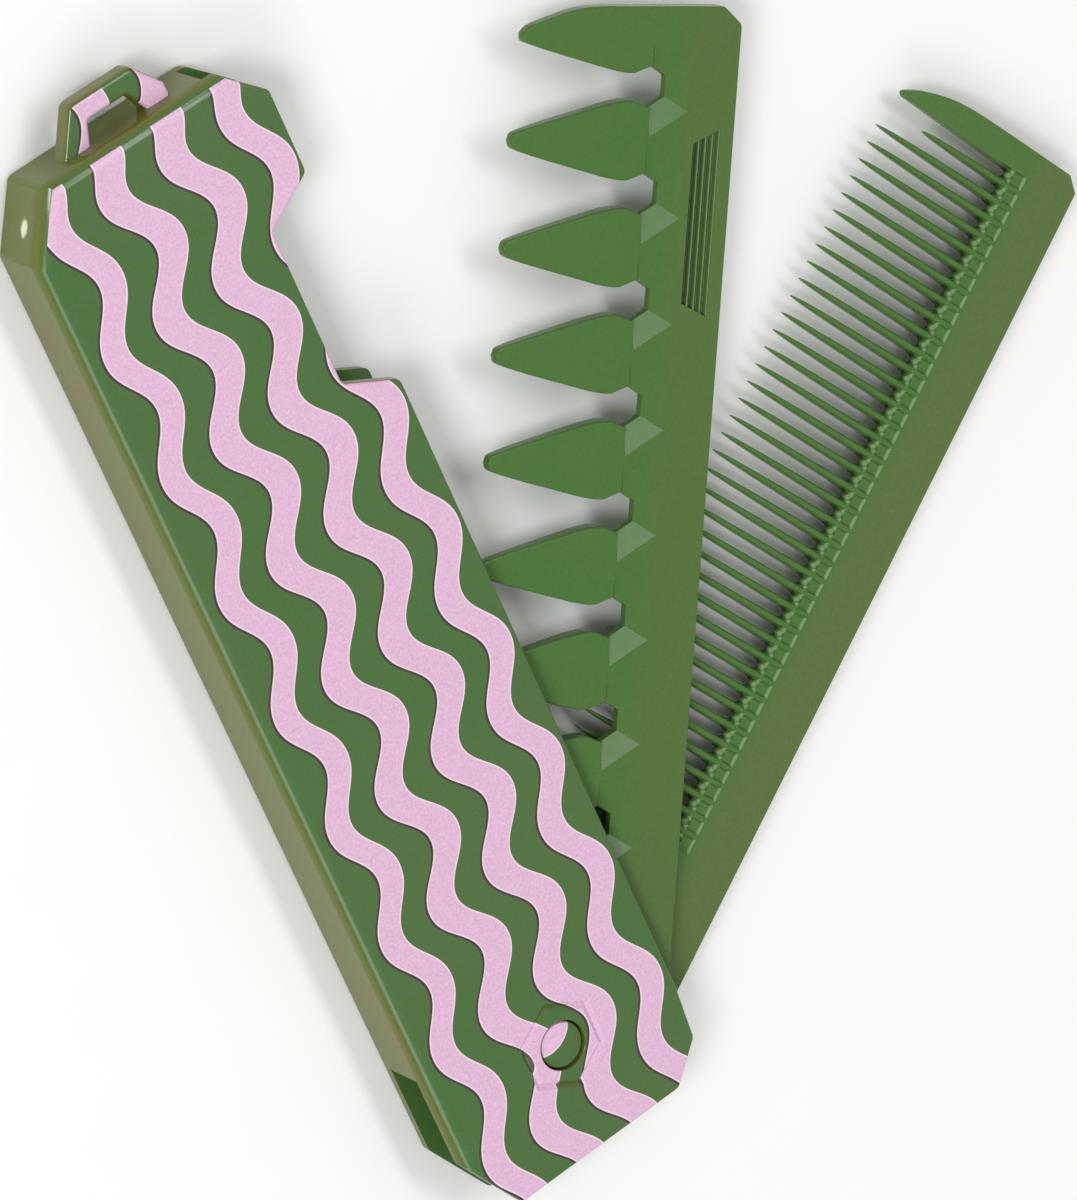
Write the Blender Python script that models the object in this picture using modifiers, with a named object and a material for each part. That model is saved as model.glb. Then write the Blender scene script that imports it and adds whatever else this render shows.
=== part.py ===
"""Folding pocket comb: a moulded case, a wide-toothed comb and a fine-toothed comb on one pivot.

The comb lies on its back. +Z points out of the printed front face, +Y runs along the case
towards the cord loop, and +X is the open side that the two combs swing out of. The origin is
on the pivot axis, at the back face. Dimensions are in millimetres until MM turns them to metres.
"""
import math

import bmesh
import bpy

MM = 0.001

# Case: one shell, open along its right side and its lower end
CASE_THICK = 8.0
CASE_LEFT = -16.1
CASE_RIGHT = 14.6
CASE_BOTTOM = -12.7
CASE_TOP = 113.7
PLATE = 1.4
WALL = 1.25
RIM_ROUND = 0.8
NOTCH_BOTTOM_X = 8.55
NOTCH_LOW = 77.9
NOTCH_HIGH = 96.2
WALL_LOWER_END = 6.0
TOP_WALL_END = 8.9

# Case outline, anticlockwise from its bottom left corner: (x, y, corner radius)
CASE_CORNERS = [
    (-11.6, CASE_BOTTOM, 1.0),
    (10.1, CASE_BOTTOM, 1.0),
    (14.1, -8.7, 1.0),
    (CASE_RIGHT, -2.6, 0.0),
    (CASE_RIGHT, 74.75, 1.0),
    (NOTCH_BOTTOM_X, NOTCH_LOW, 0.8),
    (NOTCH_BOTTOM_X, NOTCH_HIGH, 0.8),
    (CASE_RIGHT, 99.6, 1.0),
    (CASE_RIGHT, 109.3, 1.0),
    (10.0, CASE_TOP, 1.0),
    (-11.7, CASE_TOP, 1.0),
    (CASE_LEFT, 107.0, 1.0),
    (CASE_LEFT, -4.6, 1.0),
]

# Chamfer of the hollow at its top left corner: (x on the top wall, y on the left wall)
HOLLOW_CHAMFER = (-11.0, 106.6)

# Cord loop standing on the case's top wall: its outer and inner corners, (x, y, corner radius)
LOOP_TOP_Y = 118.5
LOOP_FOOT_Y = 112.86
LOOP_OUTSIDE = [(-8.2, LOOP_FOOT_Y, 0.0), (-4.65, LOOP_TOP_Y, 1.0), (3.0, LOOP_TOP_Y, 1.0),
                (5.7, 115.1, 0.6), (5.8, LOOP_FOOT_Y, 0.0)]
LOOP_INSIDE = [(3.1, LOOP_FOOT_Y, 0.0), (1.55, 116.15, 0.5), (-3.4, 116.15, 0.5),
               (-4.95, LOOP_FOOT_Y, 0.0)]
LOOP_LOW_Z = 2.9
LOOP_THICK = 2.5
LOOP_ROUND = 0.5

# Pivot
STUD_RADIUS = 2.45
HOLE_RADIUS = 2.75
SOCKET_DEPTH = 0.9
STUD_END_GAP = 0.3
GROOVE_OUTER = 5.45
GROOVE_INNER = 4.45
GROOVE_DEPTH = 0.3
STUD_BELOW_FACE = 0.05
HEEL_RADIUS = 11.6
HEEL_FROM_DEG = 140.0
HEEL_TO_DEG = 315.0
HEEL_SPINE_Y = -1.0
TAPER_FROM_Y = 18.0

# Both combs
BLADE_THICK = 2.1
FINE_LOW_Z = 1.7
WIDE_LOW_Z = 4.1
WIDE_OPEN_DEG = 30.7
FINE_OPEN_DEG = 57.7

# Wide comb, with its spine along +Y
WIDE_SPINE_X = 14.0
WIDE_TOP = 109.55
WIDE_CORNER = (2.3, 1.9, 0.8)
WIDE_PITCH = 11.166
WIDE_FIRST_GAP = 101.2
WIDE_GAPS = 8
THROAT_HALF = 1.43
THROAT_LENGTH = 2.15
GAP_HEX_X = 3.45
GAP_HEX_RADIUS = 2.2
FUNNEL_RADIUS = 5.2
FUNNEL_DEPTH = 0.5
FUNNEL_LAP = 0.2
FUNNEL_BELOW = 0.6
FUNNEL_ABOVE = 0.3
WIDE_LAST_STEP = (-3.6, 2.6)
WIDE_TIP_THICK = 0.6
GRIP_LEFT = 8.95
GRIP_RIGHT = 12.2
GRIP_LOW = 77.0
GRIP_HIGH = 96.7
GRIP_DEPTH = 0.5
GRIP_GROOVES = 4
GRIP_GROOVE_SHARE = 0.62
GRIP_END_SLANT = 0.45

# Fine comb, with its spine along +Y
FINE_SPINE_X = 13.3
FINE_TOP = 107.95
FINE_CORNER = (1.7, 1.45, 0.35)
FINE_PITCH = 2.03
FINE_FIRST_SLOT = 104.4
FINE_SLOTS = 40
SLOT_END_X = 4.25
FINE_TIP_X = -13.3
SHORT_TIP_X = -7.6
FINE_TIP_THICK = 0.65
FINE_LAST_EDGE_X = -11.6
ROOT_GROOVE_END = 6.4
ROOT_GROOVE_DEPTH = 0.45
ROOT_GROOVE_SHARE = 0.9
ROOT_GROOVE_LAP = 0.5

# Half width of a wide tooth at stations from its neck to its tip: (x, half width)
WIDE_TOOTH = [(0.4, 4.153), (-1.4, 3.85), (-3.6, 3.3), (-9.2, 1.87), (-12.3, 0.95), (-12.85, 0.5)]

# Upper edge of the end tooth of the wide comb, from the tip to the straight top: (x, y)
WIDE_END_BACK = [(-12.4, 106.65), (-11.9, 107.2), (-10.9, 107.75), (-6.0, 109.25), (-2.5, WIDE_TOP)]

# Half width of a fine tooth at stations from its root to its tip: (share of length, half width)
FINE_TOOTH = [(0.0, 0.465), (0.45, 0.39), (0.8, 0.28), (0.95, 0.16), (1.0, 0.08)]

# Guard tooth of the fine comb, from its root below round its tip to the straight top: (x, y)
GUARD_TOOTH = [(SLOT_END_X, 104.95), (-11.6, 105.3), (-12.5, 105.75), (-12.1, 106.35),
               (-10.0, 107.2), (-6.8, 107.98), (-4.2, 108.25), (-1.8, 108.28)]

# Steps from the last fine slot down to the heel: (x from the last edge, y below the last tooth)
FINE_LAST_STEPS = [(1.1, -0.1), (0.0, 1.0), (0.0, 3.0)]


def clear_scene():
    for old in list(bpy.data.objects):
        bpy.data.objects.remove(old, do_unlink=True)


def new_collection(name):
    made = bpy.data.collections.new(name)
    bpy.context.scene.collection.children.link(made)
    return made


def plastic(name, colour, roughness):
    made = bpy.data.materials.new(name)
    made.use_nodes = True
    shader = made.node_tree.nodes["Principled BSDF"]
    shader.inputs["Base Color"].default_value = (*colour, 1.0)
    shader.inputs["Roughness"].default_value = roughness
    shader.inputs["Metallic"].default_value = 0.0
    return made


def arc(radius, start, stop, steps, centre=(0.0, 0.0)):
    points = []
    for step in range(steps + 1):
        angle = math.radians(start + (stop - start) * step / steps)
        points.append((centre[0] + radius * math.cos(angle), centre[1] + radius * math.sin(angle)))
    return points


def rounded(corners, steps=3):
    """Outline of (x, y, radius) corners, each corner cut by an arc of its own radius."""
    outline = []
    count = len(corners)
    for index, (x, y, radius) in enumerate(corners):
        if radius == 0.0:
            outline.append((x, y))
            continue
        before = corners[index - 1]
        after = corners[(index + 1) % count]
        to_before = math.atan2(before[1] - y, before[0] - x)
        to_after = math.atan2(after[1] - y, after[0] - x)
        opening = (to_after - to_before + math.pi) % (2 * math.pi) - math.pi
        half = abs(opening) / 2
        bisector = to_before + opening / 2
        reach = radius / math.sin(half)
        centre = (x + reach * math.cos(bisector), y + reach * math.sin(bisector))
        sweep = math.degrees(math.pi - 2 * half)
        middle = math.degrees(bisector) + 180.0
        side = 1.0 if opening < 0 else -1.0
        outline += arc(radius, middle - side * sweep / 2, middle + side * sweep / 2, steps, centre)
    return outline


def slab(name, outlines, low, thick, collection):
    """Flat body between two heights, from closed outlines; an inner outline is a hole."""
    curve = bpy.data.curves.new(name, "CURVE")
    curve.dimensions = "2D"
    curve.fill_mode = "BOTH"
    curve.extrude = thick * MM / 2
    for outline in outlines:
        spline = curve.splines.new("POLY")
        spline.points.add(len(outline) - 1)
        spline.use_cyclic_u = True
        for point, (x, y) in zip(spline.points, outline):
            point.co = (x * MM, y * MM, 0.0, 1.0)
    drawn = bpy.data.objects.new(name + "_outline", curve)
    drawn.location.z = (low + thick / 2) * MM
    collection.objects.link(drawn)
    bpy.context.view_layer.update()
    evaluated = drawn.evaluated_get(bpy.context.evaluated_depsgraph_get())
    mesh = bpy.data.meshes.new_from_object(evaluated)
    mesh.transform(drawn.matrix_world)
    bpy.data.objects.remove(drawn, do_unlink=True)
    bpy.data.curves.remove(curve)
    shape = bmesh.new()
    shape.from_mesh(mesh)
    bmesh.ops.remove_doubles(shape, verts=shape.verts, dist=0.000002)
    bmesh.ops.dissolve_limit(shape, angle_limit=0.001, verts=shape.verts, edges=shape.edges)
    bmesh.ops.recalc_face_normals(shape, faces=shape.faces)
    shape.to_mesh(mesh)
    shape.free()
    mesh.name = name
    made = bpy.data.objects.new(name, mesh)
    collection.objects.link(made)
    return made


def cone(name, low_radius, high_radius, low, high, sides, collection, centre=(0.0, 0.0)):
    """Cylinder, cone or funnel standing along Z between two heights, with its first corner on +Y."""
    mesh = bpy.data.meshes.new(name)
    shape = bmesh.new()
    bmesh.ops.create_cone(shape, cap_ends=True, segments=sides, radius1=low_radius * MM,
                          radius2=high_radius * MM, depth=(high - low) * MM)
    shape.to_mesh(mesh)
    shape.free()
    made = bpy.data.objects.new(name, mesh)
    made.location = (centre[0] * MM, centre[1] * MM, (low + high) / 2 * MM)
    collection.objects.link(made)
    return made


def join(name, pieces):
    """One mesh object out of several that don't touch, in the first one's collection."""
    shape = bmesh.new()
    collection = pieces[0].users_collection[0]
    bpy.context.view_layer.update()
    for piece in pieces:
        mesh = piece.data.copy()
        mesh.transform(piece.matrix_world)
        shape.from_mesh(mesh)
        bpy.data.meshes.remove(mesh)
        bpy.data.objects.remove(piece, do_unlink=True)
    mesh = bpy.data.meshes.new(name)
    shape.to_mesh(mesh)
    shape.free()
    made = bpy.data.objects.new(name, mesh)
    collection.objects.link(made)
    return made


def boolean(target, tool, operation="DIFFERENCE"):
    modifier = target.modifiers.new(tool.name, "BOOLEAN")
    modifier.operation = operation
    modifier.solver = "EXACT"
    modifier.object = tool
    tool.hide_render = True
    tool.display_type = "WIRE"


def round_rims(target, width, segments, limit_deg=60.0):
    modifier = target.modifiers.new("rounded rims", "BEVEL")
    modifier.width = width * MM
    modifier.segments = segments
    modifier.limit_method = "ANGLE"
    modifier.angle_limit = math.radians(limit_deg)
    modifier.miter_outer = "MITER_ARC"


def thin_towards_tips(target, neck_x, tip_x, tip_share, middle_z):
    """Wedge the teeth: full thickness at the neck, tip_share of it at the tip."""
    shape = bmesh.new()
    shape.from_mesh(target.data)
    every = shape.verts[:] + shape.edges[:] + shape.faces[:]
    bmesh.ops.bisect_plane(shape, geom=every, plane_co=(neck_x * MM, 0, 0), plane_no=(1, 0, 0),
                           dist=0.0000005)
    for vert in shape.verts:
        share = (neck_x * MM - vert.co.x) / ((neck_x - tip_x) * MM)
        if share > 0.0 and vert.co.y > TAPER_FROM_Y * MM:
            scale = 1.0 - (1.0 - tip_share) * min(share, 1.0)
            vert.co.z = middle_z * MM + (vert.co.z - middle_z * MM) * scale
    shape.to_mesh(target.data)
    shape.free()


def smooth(target, degrees=35.0):
    target.data.shade_smooth()
    target.data.set_sharp_from_angle(angle=math.radians(degrees))


def pivot_empty(name, collection, degrees):
    made = bpy.data.objects.new(name, None)
    made.rotation_euler.z = math.radians(-degrees)
    collection.objects.link(made)
    return made


def slot_outline():
    """Hollow between the plates, run past the open right side and the open lower end."""
    outside = 6.0
    inner_left = CASE_LEFT + WALL
    inner_top = CASE_TOP - PLATE
    return [
        (inner_left, WALL_LOWER_END),
        (inner_left, HOLLOW_CHAMFER[1]),
        (HOLLOW_CHAMFER[0], inner_top),
        (TOP_WALL_END, inner_top),
        (TOP_WALL_END, CASE_TOP + outside),
        (CASE_RIGHT + outside, CASE_TOP + outside),
        (CASE_RIGHT + outside, CASE_BOTTOM - outside),
        (CASE_LEFT - outside, CASE_BOTTOM - outside),
        (CASE_LEFT - outside, WALL_LOWER_END),
    ]


def loop_outline():
    """Bail whose legs run down into the top wall."""
    return rounded(LOOP_OUTSIDE + LOOP_INSIDE)


def spine_edge(spine_x, top_y, corner):
    """Back edge of a comb from its heel up to and round its cut-off top corner."""
    run, drop, radius = corner
    inside = spine_x - 2 * run
    turned = rounded([(inside, HEEL_SPINE_Y, 0.0), (spine_x, HEEL_SPINE_Y, 0.0),
                      (spine_x, top_y - drop, radius), (spine_x - run, top_y, radius),
                      (inside, top_y, 0.0)], 2)
    return turned[1:-1]


def heel():
    """Lower end of a comb, round the pivot, from the tooth side to the spine side."""
    return arc(HEEL_RADIUS, HEEL_FROM_DEG, HEEL_TO_DEG, 12)


def wide_outline():
    outline = spine_edge(WIDE_SPINE_X, WIDE_TOP, WIDE_CORNER)
    outline += list(reversed(WIDE_END_BACK))
    for gap in range(WIDE_GAPS):
        gap_y = WIDE_FIRST_GAP - WIDE_PITCH * gap
        tooth_above = gap_y + WIDE_PITCH / 2
        tooth_below = gap_y - WIDE_PITCH / 2
        stations = WIDE_TOOTH[:-1] if gap == 0 else WIDE_TOOTH
        for x, half in reversed(stations):
            outline.append((x, tooth_above - half))
        outline.append((GAP_HEX_X - THROAT_LENGTH, gap_y + THROAT_HALF))
        outline += hexagon_right_side(gap_y)
        outline.append((GAP_HEX_X - THROAT_LENGTH, gap_y - THROAT_HALF))
        if gap < WIDE_GAPS - 1:
            for x, half in WIDE_TOOTH:
                outline.append((x, tooth_below + half))
    last_y = WIDE_FIRST_GAP - WIDE_PITCH * (WIDE_GAPS - 1)
    outline.append((WIDE_TOOTH[0][0], last_y - THROAT_HALF))
    outline.append((WIDE_LAST_STEP[0], last_y - WIDE_LAST_STEP[1]))
    return outline + heel()


def hexagon_right_side(gap_y):
    return [(GAP_HEX_X + GAP_HEX_RADIUS * math.cos(math.radians(angle)),
             gap_y + GAP_HEX_RADIUS * math.sin(math.radians(angle))) for angle in (90, 30, -30, -90)]


def fine_outline():
    outline = spine_edge(FINE_SPINE_X, FINE_TOP, FINE_CORNER)
    outline += list(reversed(GUARD_TOOTH))[:-1]
    for slot in range(FINE_SLOTS):
        slot_y = FINE_FIRST_SLOT - FINE_PITCH * slot
        half_slot = FINE_PITCH / 2 - FINE_TOOTH[0][1]
        round_x = SLOT_END_X - half_slot
        end_arc = arc(half_slot, 90.0, -90.0, 4, (round_x, slot_y))
        outline += end_arc
        if slot == FINE_SLOTS - 1:
            break
        tooth_y = slot_y - FINE_PITCH / 2
        tip_x = SHORT_TIP_X if slot == 0 else FINE_TIP_X
        for share, half in FINE_TOOTH[1:]:
            outline.append((round_x + (tip_x - round_x) * share, tooth_y + half))
        for share, half in reversed(FINE_TOOTH[1:]):
            outline.append((round_x + (tip_x - round_x) * share, tooth_y - half))
    last_y = FINE_FIRST_SLOT - FINE_PITCH * (FINE_SLOTS - 1) - FINE_PITCH / 2
    for step_x, step_y in FINE_LAST_STEPS:
        outline.append((FINE_LAST_EDGE_X + step_x, last_y - step_y))
    return outline + heel()


def make_case(parts, cutters, material):
    case = slab("case", [rounded(CASE_CORNERS)], 0.0, CASE_THICK, parts)
    round_rims(case, RIM_ROUND, 3)
    bail = slab("bail", [loop_outline()], LOOP_LOW_Z, LOOP_THICK, cutters)
    round_rims(bail, LOOP_ROUND, 2, 75.0)
    boolean(case, bail, "UNION")
    slot = slab("slot", [slot_outline()], PLATE, CASE_THICK - 2 * PLATE, cutters)
    boolean(case, slot)
    middle = (GROOVE_OUTER + GROOVE_INNER) / 2
    recess = cone("boss_recess", middle, 2 * GROOVE_OUTER - middle,
                  CASE_THICK - GROOVE_DEPTH, CASE_THICK + GROOVE_DEPTH, 6, cutters)
    boolean(case, recess)
    plateau = cone("boss_plateau", middle + middle - GROOVE_INNER, GROOVE_INNER,
                   CASE_THICK - 2 * GROOVE_DEPTH, CASE_THICK, 6, cutters)
    boolean(case, plateau, "UNION")
    pierced = CASE_THICK + 1.0
    socket_low = PLATE - SOCKET_DEPTH
    hole = cone("pivot_hole", HOLE_RADIUS, HOLE_RADIUS, socket_low, pierced, 36, cutters)
    boolean(case, hole)
    smooth(case)
    case.data.materials.append(material)
    return case


def make_wide_comb(parts, cutters, material, pivot):
    middle = WIDE_LOW_Z + BLADE_THICK / 2
    top = WIDE_LOW_Z + BLADE_THICK
    comb = slab("wide_comb", [wide_outline()], WIDE_LOW_Z, BLADE_THICK, parts)
    thin_towards_tips(comb, WIDE_TOOTH[0][0], WIDE_TOOTH[-1][0], WIDE_TIP_THICK, middle)
    grip = []
    groove_pitch = (GRIP_RIGHT - GRIP_LEFT) / GRIP_GROOVES
    for index in range(GRIP_GROOVES):
        left = GRIP_LEFT + groove_pitch * index
        right = left + groove_pitch * GRIP_GROOVE_SHARE
        drop_left = GRIP_END_SLANT * (GRIP_RIGHT - left)
        drop_right = GRIP_END_SLANT * (GRIP_RIGHT - right)
        grip.append(slab("groove", [[(left, GRIP_LOW + drop_left), (right, GRIP_LOW + drop_right),
                                     (right, GRIP_HIGH - drop_right), (left, GRIP_HIGH - drop_left)]],
                         top - GRIP_DEPTH, GRIP_DEPTH * 2, cutters))
    funnels = []
    flare = (FUNNEL_RADIUS - GAP_HEX_RADIUS) / FUNNEL_DEPTH
    narrow = FUNNEL_RADIUS - flare * FUNNEL_BELOW
    broad = FUNNEL_RADIUS + flare * FUNNEL_ABOVE
    for gap in range(WIDE_GAPS):
        gap_y = WIDE_FIRST_GAP - WIDE_PITCH * gap
        centre = (GAP_HEX_X, gap_y)
        funnels.append(cone("front_funnel", narrow, broad, top - FUNNEL_BELOW, top + FUNNEL_ABOVE, 6,
                            cutters, centre))
        funnels.append(cone("back_funnel", broad, narrow, WIDE_LOW_Z - FUNNEL_ABOVE,
                            WIDE_LOW_Z + FUNNEL_BELOW, 6, cutters, centre))
    for funnel in funnels:
        keep_right_half(funnel)
    hole = cone("wide_hole", HOLE_RADIUS, HOLE_RADIUS, WIDE_LOW_Z - 1.0, top + 1.0, 36, cutters)
    for tool in (join("grip_grooves", grip), join("funnels", funnels), hole):
        boolean(comb, tool)
        tool.parent = pivot
    comb.parent = pivot
    comb.data.materials.append(material)
    return comb


def keep_right_half(funnel):
    """Cut the funnel off just past the gap's centre line, so that the teeth keep their faces."""
    shape = bmesh.new()
    shape.from_mesh(funnel.data)
    every = shape.verts[:] + shape.edges[:] + shape.faces[:]
    bmesh.ops.bisect_plane(shape, geom=every, plane_co=(-FUNNEL_LAP * MM, 0, 0),
                           plane_no=(-1, 0, 0), clear_outer=True)
    bmesh.ops.holes_fill(shape, edges=shape.edges, sides=0)
    bmesh.ops.recalc_face_normals(shape, faces=shape.faces)
    shape.to_mesh(funnel.data)
    shape.free()


def make_fine_comb(parts, cutters, material, pivot):
    middle = FINE_LOW_Z + BLADE_THICK / 2
    top = FINE_LOW_Z + BLADE_THICK
    comb = slab("fine_comb", [fine_outline()], FINE_LOW_Z, BLADE_THICK, parts)
    thin_towards_tips(comb, SLOT_END_X - 1.0, FINE_TIP_X, FINE_TIP_THICK, middle)
    grooves = []
    half = (FINE_PITCH / 2 - FINE_TOOTH[0][1]) * ROOT_GROOVE_SHARE
    start_x = SLOT_END_X - ROOT_GROOVE_LAP
    for slot in range(FINE_SLOTS):
        slot_y = FINE_FIRST_SLOT - FINE_PITCH * slot
        outline = [(start_x, slot_y - half), (ROOT_GROOVE_END, slot_y - half),
                   (ROOT_GROOVE_END, slot_y + half), (start_x, slot_y + half)]
        for height in (top, FINE_LOW_Z):
            grooves.append(slab("root_groove", [outline], height - ROOT_GROOVE_DEPTH,
                                2 * ROOT_GROOVE_DEPTH, cutters))
    tool = join("root_grooves", grooves)
    boolean(comb, tool)
    tool.parent = pivot
    stud_top = CASE_THICK - STUD_BELOW_FACE
    stud_low = PLATE - SOCKET_DEPTH + STUD_END_GAP
    stud = cone("stud", STUD_RADIUS, STUD_RADIUS, stud_low, stud_top, 36, cutters)
    boolean(comb, stud, "UNION")
    stud.parent = pivot
    comb.parent = pivot
    comb.data.materials.append(material)
    return comb


def build():
    clear_scene()
    parts = new_collection("folding_comb")
    cutters = new_collection("folding_comb_cutters")
    wide_pivot = pivot_empty("wide_comb_pivot", parts, WIDE_OPEN_DEG)
    fine_pivot = pivot_empty("fine_comb_pivot", parts, FINE_OPEN_DEG)
    make_case(parts, cutters, plastic("case green", (0.09, 0.20, 0.06), 0.38))
    make_wide_comb(parts, cutters, plastic("wide comb green", (0.10, 0.21, 0.065), 0.42), wide_pivot)
    make_fine_comb(parts, cutters, plastic("fine comb green", (0.11, 0.20, 0.07), 0.42), fine_pivot)
    bpy.context.view_layer.update()


build()
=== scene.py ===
"""Folding pocket comb, dressed: printed case with its cord loop, fine comb with the pivot stud, wide comb.

In the part's own frame the comb lies on its back, +Z out of the printed face, +Y along the case towards the
cord loop, +X the open side. The two combs share the pivot axis at the origin. Camera, table and lamps are
given in metres, and the pieces of the comb in millimetres, times MM where they are made.
"""
import math

import bmesh
import bpy
from mathutils import Matrix, Quaternion, Vector


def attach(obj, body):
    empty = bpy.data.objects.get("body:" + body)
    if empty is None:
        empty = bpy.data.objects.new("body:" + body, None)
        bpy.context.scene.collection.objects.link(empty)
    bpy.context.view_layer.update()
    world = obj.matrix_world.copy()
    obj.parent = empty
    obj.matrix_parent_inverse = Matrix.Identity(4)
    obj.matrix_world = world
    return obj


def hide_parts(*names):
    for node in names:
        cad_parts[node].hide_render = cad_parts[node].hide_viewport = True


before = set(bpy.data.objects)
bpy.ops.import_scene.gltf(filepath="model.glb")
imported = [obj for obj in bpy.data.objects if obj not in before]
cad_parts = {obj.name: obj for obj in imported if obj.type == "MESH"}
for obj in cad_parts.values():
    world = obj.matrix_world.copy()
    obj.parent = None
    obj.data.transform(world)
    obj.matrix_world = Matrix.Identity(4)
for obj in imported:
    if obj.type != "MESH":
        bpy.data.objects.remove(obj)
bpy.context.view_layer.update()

# Camera, table and lights
# The comb lies on a plain pale table, seen from above its loop end through a long lens, with the lens
# turned so that the case runs from the upper left to the lower middle of the picture.
CAMERA_AT = Vector((-0.27841, 0.39994, 0.68737))
CAMERA_AIM = Vector((0.020169, 0.042832, 0.004))
CAMERA_ROLL_DEG = 110.402
LENS_MM = 238.5
SENSOR_MM = 36.0
TABLE_SIZE = 6.0
TABLE_DROP = 0.0002
SKY_WHITE = (1.0, 0.99, 0.97, 1.0)
SKY_STRENGTH = 0.52

camera = bpy.data.objects.new("camera", bpy.data.cameras.new("camera"))
camera.data.lens = LENS_MM
camera.data.sensor_width = SENSOR_MM
camera.data.clip_start = 0.05
camera.data.clip_end = 50.0
camera.location = CAMERA_AT
camera.rotation_mode = "QUATERNION"
camera.rotation_quaternion = ((CAMERA_AIM - CAMERA_AT).to_track_quat("-Z", "Y")
                              @ Quaternion((0.0, 0.0, 1.0), math.radians(CAMERA_ROLL_DEG)))
bpy.context.scene.collection.objects.link(camera)
bpy.context.scene.camera = camera


def soft_box(name, place, aim, width, length, power):
    """A rectangular studio light at a place, turned to a point, its length as near +Y as it can lie."""
    lamp = bpy.data.lights.new(name, "AREA")
    lamp.shape = "RECTANGLE"
    lamp.size = width
    lamp.size_y = length
    lamp.energy = power
    made = bpy.data.objects.new(name, lamp)
    made.location = place
    made.rotation_mode = "QUATERNION"
    away = (Vector(place) - Vector(aim)).normalized()
    along = (Vector((0.0, 1.0, 0.0)) - away * away.y).normalized()
    made.rotation_quaternion = Matrix((along.cross(away), along, away)).transposed().to_quaternion()
    bpy.context.scene.collection.objects.link(made)


soft_box("left_window", (-0.74, 0.44, 0.86), (0.02, 0.05, 0.0), width=0.34, length=0.34, power=5.6)
soft_box("ceiling_strip", (0.47, 0.30, 1.14), (0.02, 0.05, 0.0), width=0.22, length=0.9, power=4.0)
soft_box("left_fill", (-0.78, -0.46, 0.76), (0.0, 0.03, 0.0), width=0.4, length=0.7, power=2.6)

world = bpy.data.worlds.new("studio")
world.use_nodes = True
world.node_tree.nodes["Background"].inputs["Color"].default_value = SKY_WHITE
world.node_tree.nodes["Background"].inputs["Strength"].default_value = SKY_STRENGTH
bpy.context.scene.world = world
bpy.context.scene.view_settings.view_transform = "Standard"


def new_piece(name, shape, collection):
    """Turns a finished bmesh into an object of that name."""
    mesh = bpy.data.meshes.new(name)
    shape.to_mesh(mesh)
    shape.free()
    made = bpy.data.objects.new(name, mesh)
    collection.objects.link(made)
    return made


def feed(tree, socket, value):
    """Sets an input to a value, or links it to the socket that is given as the value."""
    if isinstance(value, bpy.types.NodeSocket):
        tree.links.new(value, socket)
    else:
        socket.default_value = value


def shader_node(tree, kind, **inputs):
    """Adds a node; each keyword is an input by name, given as a value or as the socket that feeds it."""
    node = tree.nodes.new(kind)
    for name, value in inputs.items():
        feed(tree, node.inputs[name.replace("_", " ")], value)
    return node


def noise(tree, place, scale, detail=2.0, roughness=0.5):
    """Cloudy values round 0.5, with so many clouds to the metre."""
    node = shader_node(tree, "ShaderNodeTexNoise", Vector=place, Scale=scale, Detail=detail,
                       Roughness=roughness)
    return node.outputs["Fac"]


def ramp(tree, value, low, high, at_low=0.0, at_high=1.0):
    """Goes evenly from at_low to at_high while the value goes from low to high."""
    node = shader_node(tree, "ShaderNodeMapRange", Value=value, From_Min=low, From_Max=high, To_Min=at_low,
                       To_Max=at_high)
    return node.outputs["Result"]


def new_material(name):
    made = bpy.data.materials.new(name)
    made.use_nodes = True
    return made, made.node_tree, made.node_tree.nodes["Principled BSDF"]


table_shape = bmesh.new()
bmesh.ops.create_grid(table_shape, x_segments=1, y_segments=1, size=TABLE_SIZE / 2)
table = new_piece("table", table_shape, bpy.context.scene.collection)
table.location.z = -TABLE_DROP

pale_card, tree, shader = new_material("pale card")
place = shader_node(tree, "ShaderNodeTexCoord")
cloud = noise(tree, place.outputs["Object"], scale=90.0, detail=4.0)
tint = ramp(tree, cloud, 0.0, 1.0, at_low=0.88, at_high=0.90)
card = shader_node(tree, "ShaderNodeCombineColor", Red=tint, Green=tint, Blue=tint)
feed(tree, shader.inputs["Base Color"], card.outputs["Color"])
shader.inputs["Roughness"].default_value = 0.9
table.data.materials.append(pale_card)

# Case with its cord loop
# One moulded shell of green plastic: two plates with a hollow between them for the combs, closed on the
# left and at the top, with the loop standing on its top wall. The front is printed with wavy stripes.
MM = 0.001
CASE_THICK = 8.0
CASE_LEFT = -16.1
CASE_RIGHT = 14.6
CASE_BOTTOM = -12.7
CASE_TOP = 113.7
PLATE = 1.4
WALL = 1.25
NOTCH_BOTTOM_X = 8.55
WALL_LOWER_END = 6.0
TOP_WALL_END = 8.9
CHAMFER_LOW = (CASE_LEFT, 107.0)
CHAMFER_HIGH = (-11.7, CASE_TOP)
HOLLOW_CHAMFER_Y = 106.6
HOLLOW_CHAMFER_X = -11.0
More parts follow.
